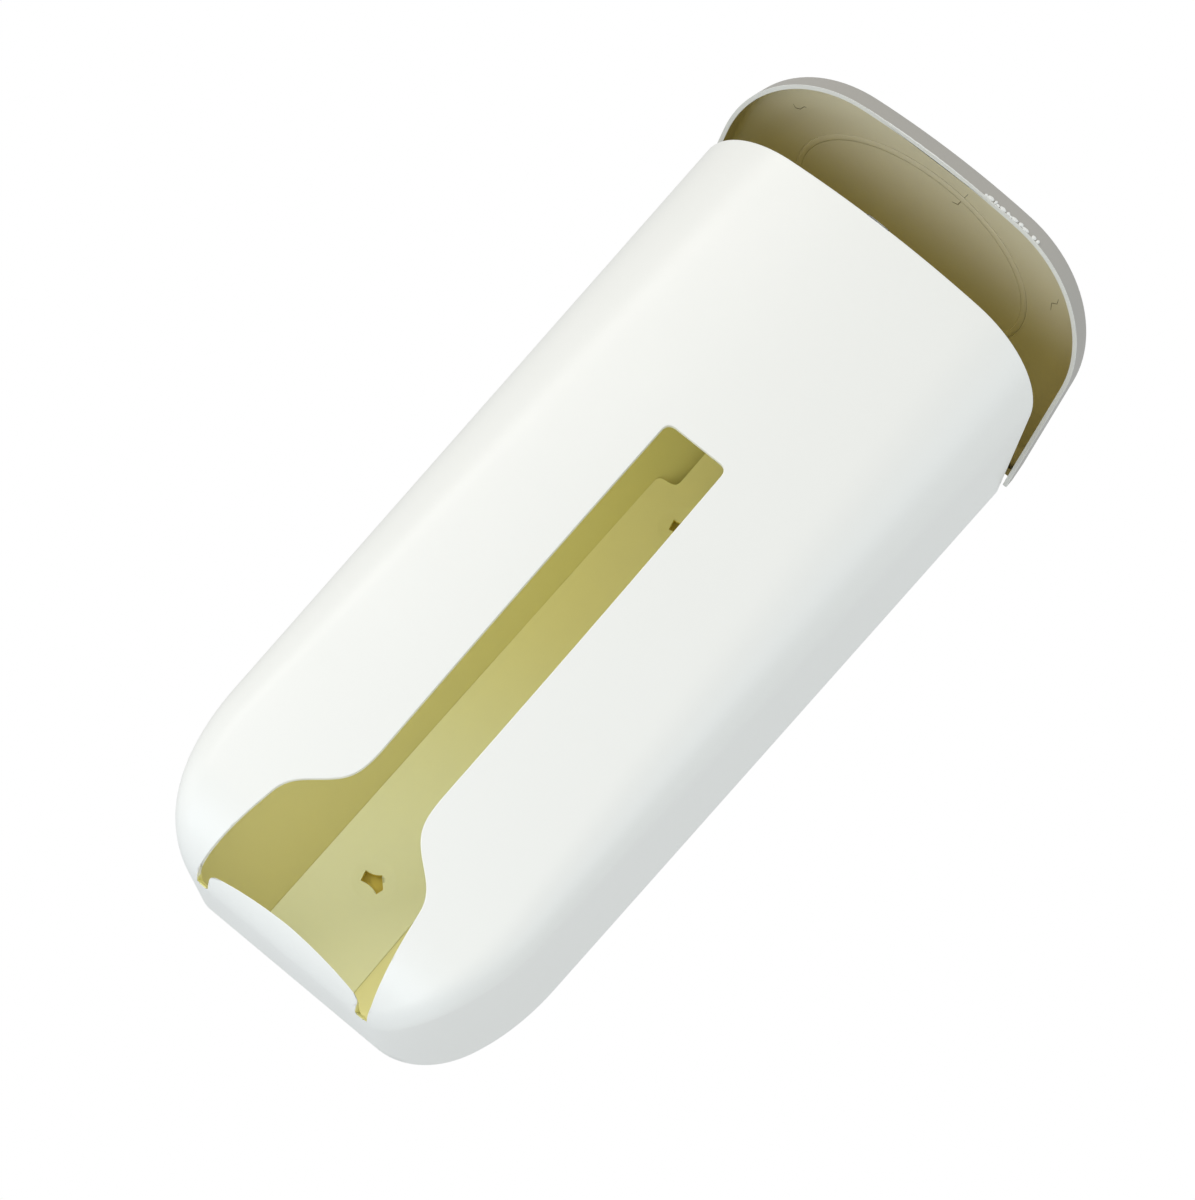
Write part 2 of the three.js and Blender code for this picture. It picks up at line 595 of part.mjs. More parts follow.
// ---------------------------------------------------------------- fasteners
// A headed pin turned about its own axis, head first, along +Y before it is placed.
function headedPin(shankRadius, shankLength, headRadius, headHeight, sides) {
  const profile = [
    [0, 0],
    [headRadius * 0.8, 0],
    [headRadius, headHeight * 0.35],
    [headRadius, headHeight],
    [shankRadius, headHeight],
    [shankRadius, headHeight + shankLength - shankRadius * 0.6],
    [shankRadius * 0.5, headHeight + shankLength],
    [0, headHeight + shankLength],
  ].map(([r, y]) => new THREE.Vector2(r, y));
  return new THREE.LatheGeometry(profile, sides);
}

// ---------------------------------------------------------------- materials
const plastic = (name, color, roughness) => {
  return new THREE.MeshStandardMaterial({ name, color, roughness, metalness: 0 });
};
const whitePlastic = plastic("white_plastic", 0xf0f0ea, 0.42);
const creamPlastic = plastic("cream_plastic", 0xe6e4bf, 0.5);
const greyPlastic = plastic("warm_grey_plastic", 0xa9a398, 0.5);
const steel = new THREE.MeshStandardMaterial({ name: "zinc_steel", color: 0xb9bcc0, roughness: 0.35, metalness: 1 });

// ---------------------------------------------------------------- assembly
const dispenser = new THREE.Group();

function addPiece(parent, name, geometry, material) {
  const mesh = new THREE.Mesh(geometry, material);
  mesh.name = name;
  parent.add(mesh);
  return mesh;
}

addPiece(dispenser, "body_shell", geometryOf(makeShell()), whitePlastic);
addPiece(dispenser, "back_plate", geometryOf(makeBackPlate()), creamPlastic);
addPiece(dispenser, "bag_guide", geometryOf(makeGuide()), creamPlastic);
addPiece(dispenser, "mounting_strip", geometryOf(makeStrip()), creamPlastic);

const lidFrame = new THREE.Group();
lidFrame.position.set(0, BACK_Y - LID_END_DEPTH, LID_END_HEIGHT);
lidFrame.rotation.x = -LID_TILT;
dispenser.add(lidFrame);
addPiece(lidFrame, "lid", geometryOf(makeLid()), greyPlastic);

const sideNames = { "-1": "left", 1: "right" };
const pinLength = EAR_SHEET + PIN_GAP + LUG_SHEET + 2 * PIN_GAP;
for (const side of [-1, 1]) {
  const pin = headedPin(PIN_RADIUS, pinLength, PIN_HEAD, PIN_HEAD_HEIGHT, 20);
  const mesh = addPiece(dispenser, `hinge_pin_${sideNames[side]}`, pin, steel);
  const headFace = EAR_OUTER - EAR_SHEET - PIN_GAP - PIN_HEAD_HEIGHT;
  mesh.position.set(side * headFace, PIVOT_Y, PIVOT_HEIGHT);
  mesh.rotation.z = (-side * Math.PI) / 2;
}

for (const { x, z } of bossPlaces()) {
  const screw = headedPin(
    PLATE_SCREW_RADIUS, PLATE_SCREW_LENGTH, PLATE_SCREW_HEAD, PLATE_SCREW_HEAD_HEIGHT, 20,
  );
  const level = z > MID_HEIGHT ? "upper" : "lower";
  const mesh = addPiece(dispenser, `plate_screw_${level}_${sideNames[Math.sign(x)]}`, screw, steel);
  mesh.position.set(x, BACK_Y, z);
  mesh.rotation.z = Math.PI;
}

export default dispenser;
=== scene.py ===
"""Looks for the wall-mounted bag dispenser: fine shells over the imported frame, materials, light and camera.

Lengths in the shape code are millimetres in the row frame, turned to metres when a mesh is made.
"""
import math
import random

import bmesh
import bpy
from mathutils import Matrix, Vector

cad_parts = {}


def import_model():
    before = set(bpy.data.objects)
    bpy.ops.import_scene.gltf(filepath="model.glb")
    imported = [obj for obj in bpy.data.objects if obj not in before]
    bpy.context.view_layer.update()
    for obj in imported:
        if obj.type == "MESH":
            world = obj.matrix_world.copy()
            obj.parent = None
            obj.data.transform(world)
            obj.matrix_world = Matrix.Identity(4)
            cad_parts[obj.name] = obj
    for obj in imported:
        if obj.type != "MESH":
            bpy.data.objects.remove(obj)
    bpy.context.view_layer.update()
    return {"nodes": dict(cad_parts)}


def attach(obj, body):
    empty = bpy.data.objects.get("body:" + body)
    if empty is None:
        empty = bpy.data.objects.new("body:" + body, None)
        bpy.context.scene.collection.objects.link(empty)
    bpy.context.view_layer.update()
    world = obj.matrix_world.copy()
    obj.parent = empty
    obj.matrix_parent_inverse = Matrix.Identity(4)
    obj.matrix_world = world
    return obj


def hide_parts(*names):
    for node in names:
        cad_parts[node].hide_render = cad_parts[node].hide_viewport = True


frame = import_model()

MM = 0.001

# ------------------------------------------------------------------ dimensions shared with the CAD part
MID_WIDTH, MID_HEIGHT, SIDE_TAPER = 130.0, 150.0, 0.02
DEPTH, FRONT_BOW, WALL, FIT = 86.5, 2.0, 2.2, 0.35
BACK_RIM, RIM_RISE = 271.0, 22.5
CORNER_AT_FLOOR, CORNER_GROWTH = 8.3, 0.0884
SIDE_RISE, SIDE_RUN, FRONT_FILLET, BACK_FILLET = 52.0, 28.5, 28.3, 19.3
CORNER_SHRINK, CORNER_LEAST = 0.2, 8.0
SLOT_HALF, SLOT_TOP, SLOT_CORNER = 12.0, 201.3, 3.2
MOUTH_HALF, MOUTH_FOOT, TONGUE_HALF, TONGUE_CROWN, TONGUE_DROP = 34.7, 4.0, 30.2, 6.3, 3.0
NOTCH_DEPTH, NOTCH_RUNOUT, NOTCH_LIP = 60.0, 13.0, 0.15
GUIDE_ANGLE = math.radians(32)
GUIDE_SHEET, GUIDE_TOP, GUIDE_VALLEY, VALLEY_FOLD, GUIDE_OVERRUN = 2.0, 238.0, 14.0, 0.6, 10.0
CREASE_DEPTH, CREASE_AT_FLOOR, CREASE_TAPER = 22.9, 19.2, 0.0117
STRIP_SHEET, STRIP_TOP, STRIP_STEP, STRIP_NECK = 2.4, 232.0, 197.7, 10.0
SCREW_HEIGHTS = (39.8, 190.8)
UPPER_OPENING_SHIFT = 1.0  # how far the upper opening sits off the middle
TUBE_OUTER, TUBE_BORE, SEAT_DEPTH, SEAT_FLOOR = 6.0, 4.7, 2.0, 0.8
PLATE_SHEET, PLATE_FOOT = 2.4, 24.0
BOSS_RADIUS, BOSS_LENGTH, BOSS_HEIGHTS, BOSS_INSET, WEB_HALF = 3.8, 11.0, (58.0, 238.0), 4.2, 1.0
BOSS_BORE, BOSS_BORE_DEPTH = 1.75, 12.0
PIVOT_DEPTH, PIVOT_HEIGHT = 9.0, 265.5
LID_TILT, LID_TILT_MAX = math.radians(32.7), math.radians(65)
LID_END_DEPTH, LID_END_HEIGHT = 7.2, 272.0
LID_HALF, LID_FLARE, LID_LENGTH, LID_CORNER, LID_BOW = 70.4, 0.55, 93.0, 43.7, 1.2
LID_HEIGHT, LID_WALL, LID_DRAFT, LID_EDGE = 8.9, 1.5, 0.7, 2.2
LID_WALL_CLEARANCE, REAR_CUT, LID_REAR_EDGE = 0.4, 4.0, 4.2
EAR_SHEET, EAR_OUTER, EAR_RADIUS, PIN_BORE = 2.5, 61.9, 4.6, 1.8

BACK_Y = DEPTH / 2
TOP = BACK_RIM + RIM_RISE
RIM_SLOPE = math.atan2(RIM_RISE, DEPTH)
CREASE_Y = BACK_Y - CREASE_DEPTH
FAR = 1.0  # how far a cutter runs past what it cuts
OVERLAP = 0.1  # how far two cutters that meet run into each other

# ------------------------------------------------------------------ dimensions that only the looks have
RING_SPARE = 0.6  # no ring of the shell lies this near the foot of the back opening
SHELL_EDGE, SHELL_WELD, GUIDE_EDGE, STRIP_EDGE, LID_RIM_EDGE = 0.3, 0.03, 0.25, 0.15, 0.15
EDGE_ANGLE = math.radians(32)  # edges that turn more than this are rounded
SKIN_ANGLE = math.radians(40)  # and on an uncut skin, edges that turn more than this are shaded sharp
SLOT_FOOT, SLOT_BULGE, SLOT_STEPS = 66.0, 0.3, 12
SHOULDER, FLARE_FOOT = (18.5, 48.0), (29.8, 34.0)  # where the two curves from the slot to the outlet end
RIM_NICK = (
    (-8, TOP - 2), (-7.2, TOP + 0.1), (-6, TOP + 0.35),
    (-1.5, TOP + 0.4), (0.8, TOP + 0.2), (2.5, TOP - 2),
)
NICK_FRONT, NICK_BACK = 0.2, 0.3  # how far the nick stays inside the faces of the wall
BAND_RISE = 9.0  # how far the cutter of the back opening stands above the top
WEB_INSET = 0.2
GUIDE_BEND = 1.5  # half length of the bend between the guide's valley and a side panel
GUIDE_STEPS, GUIDE_PAD_STEP = 6, 0.2
STRIP_GAP = 0.3
SEAT_DISH = (7.5, 0.55)  # radius and depth of the shallow dish around each screw opening
EAR_START, EAR_SWEEP, EAR_STEPS = -math.pi * 0.95, math.pi * 0.97, 18
EAR_ROOT_REAR, EAR_ROOT_FRONT = -6.5, -10.5  # where an ear meets the lid's plate
LID_CEILING = LID_HEIGHT - LID_WALL  # underside of the lid's plate, in the lid's frame
LID_OVAL, LID_OVAL_REACH = (45.0, 27.0), 53.0  # half axes of the oval line there, and how far forward it sits
LID_SCUFFS = (
    ((-55.4, 67.9), (-54, 67.2), (-52.4, 68.0), (-51.6, 69.8), (-50.4, 70.2)),
    ((6.4, 76.0), (8.6, 76.6), (10.4, 84.6)),
    ((51.8, 65.4), (51.0, 68.0), (52.6, 69.0), (52.2, 71.6)),
)  # set across the lid and forwards of its rear end
FLASH_LINE, FLASH_LUMPS = (-32.0, 17.0), (17.0, 40.0)  # from and to, along the lid's front edge
FLASH_STEPS, FLASH_SEED = 60, 7


def half_width_at(z):
    return MID_WIDTH / 2 + SIDE_TAPER * (z - MID_HEIGHT)


def corner_at(z):
    return CORNER_AT_FLOOR + CORNER_GROWTH * z


def crease_at(z):
    return CREASE_AT_FLOOR - CREASE_TAPER * z


# ------------------------------------------------------------------ mesh helpers
def mesh_object(name, verts, faces):
    mesh = bpy.data.meshes.new(name)
    mesh.from_pydata([[c * MM for c in v] for v in verts], [], faces)
    mesh.validate()
    obj = bpy.data.objects.new(name, mesh)
    bpy.context.scene.collection.objects.link(obj)
    bm = bmesh.new()
    bm.from_mesh(mesh)
    bmesh.ops.recalc_face_normals(bm, faces=bm.faces)
    bm.to_mesh(mesh)
    bm.free()
    return obj


def loft(name, rings):
    """A closed solid through rings of one count, in each of which point j mirrors point count - 1 - j."""
    count = len(rings[0])
    verts = [p for ring in rings for p in ring]
    faces = []
    for i in range(len(rings) - 1):
        for j in range(count):
            a, b = i * count + j, i * count + (j + 1) % count
            faces.append((a, b, b + count, a + count))
    last = (len(rings) - 1) * count
    for j in range((count - 1) // 2):
        k = count - 1 - j
        quad = [j, j + 1, k - 1, k] if j + 1 < k - 1 else [j, j + 1, k]
        faces.append(tuple(reversed(quad)))
        faces.append(tuple(last + v for v in quad))
    return mesh_object(name, verts, faces)


def prism(name, outline, axis, low, high):
    """An outline extruded along an axis. It holds (y, z) for axis x, (x, z) for y and (x, y) for z."""
    place = {
        "x": lambda p, d: (d, p[0], p[1]),
        "y": lambda p, d: (p[0], d, p[1]),
        "z": lambda p, d: (p[0], p[1], d),
    }[axis]
    n = len(outline)
    verts = [place(p, low) for p in outline] + [place(p, high) for p in outline]
    faces = [tuple(range(n)), tuple(range(2 * n - 1, n - 1, -1))]
    faces += [(i, (i + 1) % n, n + (i + 1) % n, n + i) for i in range(n)]
    return mesh_object(name, verts, faces)


def rod(name, radius, x, z, y_low, y_high, sides=48):
    ring = [(x + radius * math.cos(2 * math.pi * i / sides), z + radius * math.sin(2 * math.pi * i / sides))
            for i in range(sides)]
    return prism(name, ring, "y", y_low, y_high)


def half_space(name, y, z, angle, size=600.0):
    """Everything beyond a plane through (0, y, z) whose normal is turned by angle from +Y towards +Z."""
    s = size / 2
    verts = [(x, d, h) for x in (-s, s) for d in (0, size) for h in (-s, s)]
    faces = [(0, 1, 3, 2), (4, 6, 7, 5), (0, 4, 5, 1), (2, 3, 7, 6), (0, 2, 6, 4), (1, 5, 7, 3)]
    turned = []
    for vx, vy, vz in verts:
        c, q = math.cos(angle), math.sin(angle)
        turned.append((vx, y + vy * c - vz * q, z + vy * q + vz * c))
    return mesh_object(name, turned, faces)


def combine(target, tool, operation):
    """Applies one boolean to target's mesh and removes the tool."""
    modifier = target.modifiers.new("cut", "BOOLEAN")
    modifier.operation = operation
    modifier.solver = "EXACT"
    modifier.object = tool
    bake(target)
    bpy.data.objects.remove(tool)


def bake(obj):
    """Turns an object's modifiers into its mesh."""
    graph = bpy.context.evaluated_depsgraph_get()
    mesh = bpy.data.meshes.new_from_object(obj.evaluated_get(graph))
    old = obj.data
    obj.modifiers.clear()
    obj.data = mesh
    bpy.data.meshes.remove(old)


def smooth(obj, width, segments=3, weld=0.02):
    """Rounds the sharp edges a little and shades the rest smoothly."""
    bm = bmesh.new()
    bm.from_mesh(obj.data)
    bmesh.ops.remove_doubles(bm, verts=bm.verts, dist=weld * MM)
    bmesh.ops.dissolve_degenerate(bm, edges=bm.edges, dist=weld * MM)
    bm.to_mesh(obj.data)
    bm.free()
    obj.data.polygons.foreach_set("use_smooth", [True] * len(obj.data.polygons))
    bevel = obj.modifiers.new("edge", "BEVEL")
    bevel.limit_method = "ANGLE"
    bevel.angle_limit = EDGE_ANGLE
    bevel.width = width * MM
    bevel.segments = segments
    bevel.use_clamp_overlap = False
    bevel.loop_slide = False
    bevel.harden_normals = True
    bake(obj)


def shade_like(obj, source):
    """Takes the shading normals of an uncut skin wherever obj still lies on it, and removes that skin."""
    source.data.polygons.foreach_set("use_smooth", [True] * len(source.data.polygons))
    source.data.set_sharp_from_angle(angle=SKIN_ANGLE)
    transfer = obj.modifiers.new("shade", "DATA_TRANSFER")
    transfer.object = source
    transfer.use_loop_data = True
    transfer.data_types_loops = {"CUSTOM_NORMAL"}
    transfer.loop_mapping = "POLYINTERP_NEAREST"
    transfer.use_max_distance = True
    transfer.max_distance = 0.02 * MM
    bake(obj)
    bpy.data.objects.remove(source)


def bezier(a, b, c, d, steps=10):
    """Points after a up to d on a cubic curve."""
    points = []
    for i in range(1, steps + 1):
        t = i / steps
        w = ((1 - t) ** 3, 3 * t * (1 - t) ** 2, 3 * t * t * (1 - t), t ** 3)
        points.append(tuple(w[0] * a[k] + w[1] * b[k] + w[2] * c[k] + w[3] * d[k] for k in (0, 1)))
    return points


def quadratic(a, b, c, steps=8):
    """Points after a up to c on a quadratic curve."""
    one = (a[0] + 2 / 3 * (b[0] - a[0]), a[1] + 2 / 3 * (b[1] - a[1]))
    two = (c[0] + 2 / 3 * (b[0] - c[0]), c[1] + 2 / 3 * (b[1] - c[1]))
    return bezier(a, one, two, c, steps)


def mirrored(half):
    """A closed outline from its right half, whose first and last points lie on the axis or beside it."""
    other = [(-x, y) for x, y in reversed(half) if x > 1e-6]
    return half + other


# ------------------------------------------------------------------ shell
def plan_outline(half_width, depth, corner, bow, back, corner_steps=18, front_steps=10, side_steps=7):
    """Plan with straight back and sides, round front corners and bowed front, from the right back corner."""
    flat = max(half_width - corner, 1.0)
    bend = (flat * flat + bow * bow) / (2 * bow)
    drop = math.sqrt((bend - corner) ** 2 - flat * flat)
    corner_y = -depth + bend - drop
    turn = math.atan2(flat, drop)
    half = [(half_width, -back + (corner_y + back) * i / side_steps) for i in range(side_steps)]
    for i in range(corner_steps + 1):
        angle = -(math.pi / 2 - turn) * i / corner_steps
        half.append((flat + corner * math.cos(angle), corner_y + corner * math.sin(angle)))
    for i in range(1, front_steps + 1):
        angle = turn * (1 - i / front_steps)
        half.append((bend * math.sin(angle), -depth + bend * (1 - math.cos(angle))))
    return half + [(-x, y) for x, y in reversed(half[:-1])]


def fillet_inset(z, rise, run):
    if z >= rise:
        return 0.0
    return run * (1 - math.sqrt(max(1 - ((rise - z) / rise) ** 2, 0.0)))


def shell_ring(z, skin, past_back):
    above = z - skin
    side = fillet_inset(above, SIDE_RISE - skin, SIDE_RUN - skin)
    front = fillet_inset(above, FRONT_FILLET - skin, FRONT_FILLET - skin)
    back = fillet_inset(above, BACK_FILLET - skin, BACK_FILLET - skin)
    half_width = half_width_at(z) - skin - side
    corner = max(corner_at(z) - skin - CORNER_SHRINK * min(side, front), CORNER_LEAST - skin)
    bow = FRONT_BOW * half_width / half_width_at(z)
    back_inset = -FAR if past_back else skin + back
    outline = plan_outline(half_width, DEPTH - skin - front, corner, bow, back_inset)
    return [(x, BACK_Y + y, z) for x, y in outline]


def shell_block(name, skin, past_back=False):
    steps, walls = 30, 28
    heights = [skin + (SIDE_RISE - skin) * (i / steps) ** 1.7 for i in range(steps + 1)]
    heights += [SIDE_RISE + (TOP + FAR - SIDE_RISE) * i / walls for i in range(1, walls + 1)]
    heights = [z for z in heights if abs(z - PLATE_FOOT) > RING_SPARE]
    return loft(name, [shell_ring(z, skin, past_back) for z in heights])


def front_opening():
    """Slot, shoulders, flared outlet and the crowned edge of the tongue, in x and z."""
    s, c, top = SLOT_HALF, SLOT_CORNER, SLOT_TOP
    end = TONGUE_CROWN - TONGUE_DROP
    half = [(0.0, top), (s - c, top)]
    half += quadratic((s - c, top), (s, top), (s, top - c))
    for i in range(1, SLOT_STEPS + 1):
        bulge = SLOT_BULGE * math.sin(math.pi * i / SLOT_STEPS)
        half.append((s + bulge, top - c - (top - c - SLOT_FOOT) * i / SLOT_STEPS))
    half += bezier((s, SLOT_FOOT), (s, 56), (13.5, 52.5), SHOULDER, 14)
    half += bezier(SHOULDER, (23.5, 43.5), (28.6, 41), FLARE_FOOT, 14)
    half += [(MOUTH_HALF, MOUTH_FOOT), (TONGUE_HALF + 1, end - 1), (TONGUE_HALF, end - 1)]
    start = (TONGUE_HALF, end - 1)
    half += quadratic(start, (TONGUE_HALF - 0.2, end), (TONGUE_HALF - 2.4, end + 0.5), 5)
    half += quadratic((TONGUE_HALF - 2.4, end + 0.5), (15, TONGUE_CROWN - 0.3), (0.0, TONGUE_CROWN), 12)
    return mirrored(half)


def notch(side):
    """A slit beside the tongue with a round end, in x and y."""
    inner, outer = TONGUE_HALF, MOUTH_HALF
    radius = (outer - inner) / 2
    end = BACK_Y - NOTCH_DEPTH
    points = [(inner, -BACK_Y - FAR)]
    for i in range(13):
        angle = math.pi * (1 - i / 12)
        points.append((inner + radius + radius * math.cos(angle), end - radius + radius * math.sin(angle)))
    points.append((outer, -BACK_Y - FAR))
    return [(side * x, y) for x, y in points]


def boss_places():
    return [(side * (half_width_at(z) - WALL - BOSS_INSET), z) for z in BOSS_HEIGHTS for side in (-1, 1)]


def slab(name, low, high):
    outline = [(low[0], low[1]), (high[0], low[1]), (high[0], high[1]), (low[0], high[1])]
    return prism(name, outline, "z", low[2], high[2])


def runout_start():
    """The y of the middle of a notch's round end, where its slope begins."""
    return BACK_Y - NOTCH_DEPTH - (MOUTH_HALF - TONGUE_HALF) / 2


def make_shell():
    shell = shell_block("shell_body", 0)
    combine(shell, shell_block("hollow", WALL), "DIFFERENCE")
    window = shell_block("window", WALL, past_back=True)
    low = (-MID_WIDTH, BACK_Y - BACK_FILLET, PLATE_FOOT)
    high = (MID_WIDTH, BACK_Y + FAR, TOP + BAND_RISE)
    band = slab("band", low, high)
    combine(window, band, "INTERSECT")
    combine(shell, window, "DIFFERENCE")
    y_back = BACK_Y - PLATE_SHEET - FIT
    for x, z in boss_places():
        side = 1 if x > 0 else -1
        web = sorted((x, x + side * (BOSS_INSET + WALL / 2)))
        combine(shell, rod("boss", BOSS_RADIUS, x, z, y_back - BOSS_LENGTH, y_back), "UNION")
        low = (web[0], y_back - BOSS_LENGTH + WEB_INSET, z - WEB_HALF)
        high = (web[1], y_back - WEB_INSET, z + WEB_HALF)
        combine(shell, slab("web", low, high), "UNION")
        combine(shell, rod("bore", BOSS_BORE, x, z, BACK_Y - BOSS_BORE_DEPTH, BACK_Y), "DIFFERENCE")
    combine(shell, half_space("above", BACK_Y, BACK_RIM, math.pi / 2 - RIM_SLOPE), "DIFFERENCE")
    combine(shell, prism("opening", front_opening(), "y", -BACK_Y - FAR, 0), "DIFFERENCE")
    for side in (-1, 1):
        combine(shell, prism("notch", notch(side), "z", -FAR, MOUTH_FOOT + OVERLAP), "DIFFERENCE")
        start = runout_start()
        end = start + NOTCH_RUNOUT
        slope = [(start, NOTCH_LIP), (end, WALL + FIT), (end, WALL + FAR), (start, WALL + FAR)]
        edges = sorted((side * TONGUE_HALF, side * MOUTH_HALF))
        combine(shell, prism("runout", slope, "x", edges[0], edges[1]), "DIFFERENCE")
    combine(shell, prism("nick", RIM_NICK, "y", -BACK_Y + NICK_FRONT, -BACK_Y + WALL - NICK_BACK), "UNION")
    smooth(shell, SHELL_EDGE, weld=SHELL_WELD)
    shade_like(shell, shell_block("skin", 0))
    paint_notches(shell)
    return shell


def paint_notches(shell):
    """Gives the slopes in which the notches run out material 1, a cream painted on the white wall there as
    painted yellow light from the cream inside of the case.
    """
    start = runout_start()
    for face in shell.data.polygons:
        x, y, z = face.center / MM
        beside = TONGUE_HALF - 0.2 < abs(x) < MOUTH_HALF + 0.2
        within = start - 4 < y < start + NOTCH_RUNOUT + 1 and 0.05 < z < WALL + FIT
        if beside and within and face.normal.z > -0.3:
            face.material_index = 1


# ------------------------------------------------------------------ guide and strip
def guide_ring(z):
    rise = math.tan(GUIDE_ANGLE)
    crease = crease_at(z)
    valley = crease - (CREASE_DEPTH - GUIDE_VALLEY) / rise
    outer = MID_WIDTH / 2 + GUIDE_OVERRUN
    outer_depth = CREASE_DEPTH + (outer - crease) * rise
    back = GUIDE_SHEET / math.cos(GUIDE_ANGLE)
    bend = GUIDE_BEND
    front = [(outer, outer_depth)]
    front += [(valley + bend, GUIDE_VALLEY + bend * rise)]
    front += quadratic((valley + bend, GUIDE_VALLEY + bend * rise), (valley, GUIDE_VALLEY),
                       (valley - bend, GUIDE_VALLEY), 4)
    front = [(-x, d) for x, d in front] + [(x, d) for x, d in reversed(front)]
    fold = valley - VALLEY_FOLD
    rear = [(outer, outer_depth - back), (fold, GUIDE_VALLEY - GUIDE_SHEET)]
    pad = len(front) // 2 - len(rear)  # the rear face has no bend, so flat points make up its count
    rear += [(fold - GUIDE_PAD_STEP * (i + 1), GUIDE_VALLEY - GUIDE_SHEET) for i in range(pad)]
    rear += [(-x, d) for x, d in reversed(rear)]
    return [(x, BACK_Y - depth, z) for x, depth in front + rear]


def make_guide():
    guide = loft("bag_guide_panel", [guide_ring(GUIDE_TOP * i / GUIDE_STEPS) for i in range(GUIDE_STEPS + 1)])
    combine(guide, shell_block("inside", WALL + FIT), "INTERSECT")
    for z in SCREW_HEIGHTS:
        combine(guide, rod("clear", TUBE_OUTER + FIT, 0, z, BACK_Y - CREASE_DEPTH, BACK_Y), "DIFFERENCE")
    smooth(guide, GUIDE_EDGE)
    # The left half gets the darker cream (painted shade) and the right half the lighter cream (painted
    # light).
    for face in guide.data.polygons:
        face.material_index = int(face.center.x > 0)
    return guide


def strip_outline(inset):
    foot = WALL + 2 * FIT
    shoulder = crease_at(STRIP_STEP) - inset
    neck = STRIP_NECK - inset
    step = STRIP_STEP
    half = [(0.0, foot), (crease_at(foot) - inset, foot), (shoulder, step)]
    half += quadratic((shoulder, step), (shoulder - 0.2, step + 2), (shoulder - 2.6, step + 2.4))
    start, end = (shoulder - 2.6, step + 2.4), (neck, step + 5)
    half += bezier(start, (neck + 1.4, step + 2.5), (neck + 0.2, step + 3), end)
    half += [(neck, STRIP_TOP - 4)]
    half += quadratic((neck, STRIP_TOP - 4), (neck, STRIP_TOP), (neck - 4, STRIP_TOP))
    half += [(0.0, STRIP_TOP)]
    return mirrored(half)


def dish(name, z):
    """A shallow bowl in the front face of the strip, as a closed cutter."""
    radius, depth = SEAT_DISH
    sides, rings = 64, 8
    verts = [(0, CREASE_Y - FAR, z), (0, CREASE_Y + depth, z)]
    for i in range(1, rings + 2):
        r = radius * i / rings
        rise = depth * (1 - (r / radius) ** 2)
        for j in range(sides):
            angle = 2 * math.pi * j / sides
            verts.append((r * math.cos(angle), CREASE_Y + rise, z + r * math.sin(angle)))
    faces = []
    for j in range(sides):
        k = (j + 1) % sides
        faces.append((1, 2 + j, 2 + k))
        for i in range(rings):
            a, b = 2 + i * sides + j, 2 + i * sides + k
            faces.append((a, a + sides, b + sides, b))
        faces.append((0, 2 + rings * sides + k, 2 + rings * sides + j))
    return mesh_object(name, verts, faces)


def paint_seats(strip):
    """Gives the hollows behind the screw openings material 1, a deep amber that is painted shade: it stands
    in for the dim, yellow-bounced light in these hollows.
    """
    for face in strip.data.polygons:
        x, y, z = face.center / MM
        for height in SCREW_HEIGHTS:
            deep = CREASE_Y + 0.8 < y < CREASE_Y + STRIP_SHEET + SEAT_DEPTH + 0.2
            if deep and math.hypot(x, z - height) < TUBE_BORE + 0.3:
                face.material_index = 1


def screw_opening(z):
    """The five-cornered opening, with its upper left and lower edges hollowed by curves."""
    points = [(-4.3, z + 0.9)]
    points += quadratic((-4.3, z + 0.9), (-1.4, z + 1), (0.8, z + 3))
    points += [(4.1, z - 0.4), (3.4, z - 2.8)]
    points += quadratic((3.4, z - 2.8), (0.3, z - 1.4), (-3.4, z - 2.6))
    return points


def make_strip():
    cot = 1 / math.tan(GUIDE_ANGLE)
    front = strip_outline(STRIP_GAP)
    back = strip_outline(STRIP_GAP + STRIP_SHEET * cot)
    n = len(front)
    verts = [(x, CREASE_Y, z) for x, z in front] + [(x, CREASE_Y + STRIP_SHEET, z) for x, z in back]
    faces = [tuple(range(n)), tuple(range(2 * n - 1, n - 1, -1))]
    faces += [(i, (i + 1) % n, n + (i + 1) % n, n + i) for i in range(n)]
    strip = mesh_object("mounting_strip_panel", verts, faces)
    for z in SCREW_HEIGHTS:
        y_back = BACK_Y - PLATE_SHEET - FIT
        combine(strip, rod("tube", TUBE_OUTER, 0, z, CREASE_Y + STRIP_SHEET / 2, y_back), "UNION")
        seat = CREASE_Y + STRIP_SHEET + SEAT_DEPTH
        combine(strip, rod("seat", TUBE_BORE, 0, z, CREASE_Y + STRIP_SHEET, seat), "DIFFERENCE")
        combine(strip, rod("bore", TUBE_BORE, 0, z, seat + SEAT_FLOOR, BACK_Y), "DIFFERENCE")
        combine(strip, dish("dish", z), "DIFFERENCE")
        shift = UPPER_OPENING_SHIFT if z > MID_HEIGHT else 0
        outline = [(x + shift, h) for x, h in screw_opening(z)]
        hole = prism("hole", outline, "y", CREASE_Y - FAR, CREASE_Y + STRIP_SHEET + FAR)
        combine(strip, hole, "DIFFERENCE")
    smooth(strip, STRIP_EDGE)
    even = strip.modifiers.new("even", "WEIGHTED_NORMAL")
    even.weight = 80
    bake(strip)
    paint_seats(strip)
    return strip


# ------------------------------------------------------------------ lid
# The lid's own frame starts at the rear end of its skirt's lower edge: -Y along the lid, +Z to its plate.
def lid_ring(z, inset):
    ring = []
    half_width, length, corner = (size - inset for size in (LID_HALF, LID_LENGTH, LID_CORNER))
    outline = plan_outline(half_width, length, corner, LID_BOW, inset, 26, 12, 5)
    for x, y in outline:
        flare = 1 + LID_FLARE / LID_HALF * (-2 * y / LID_LENGTH - 1)
        ring.append((x * flare, y, z))
    return ring


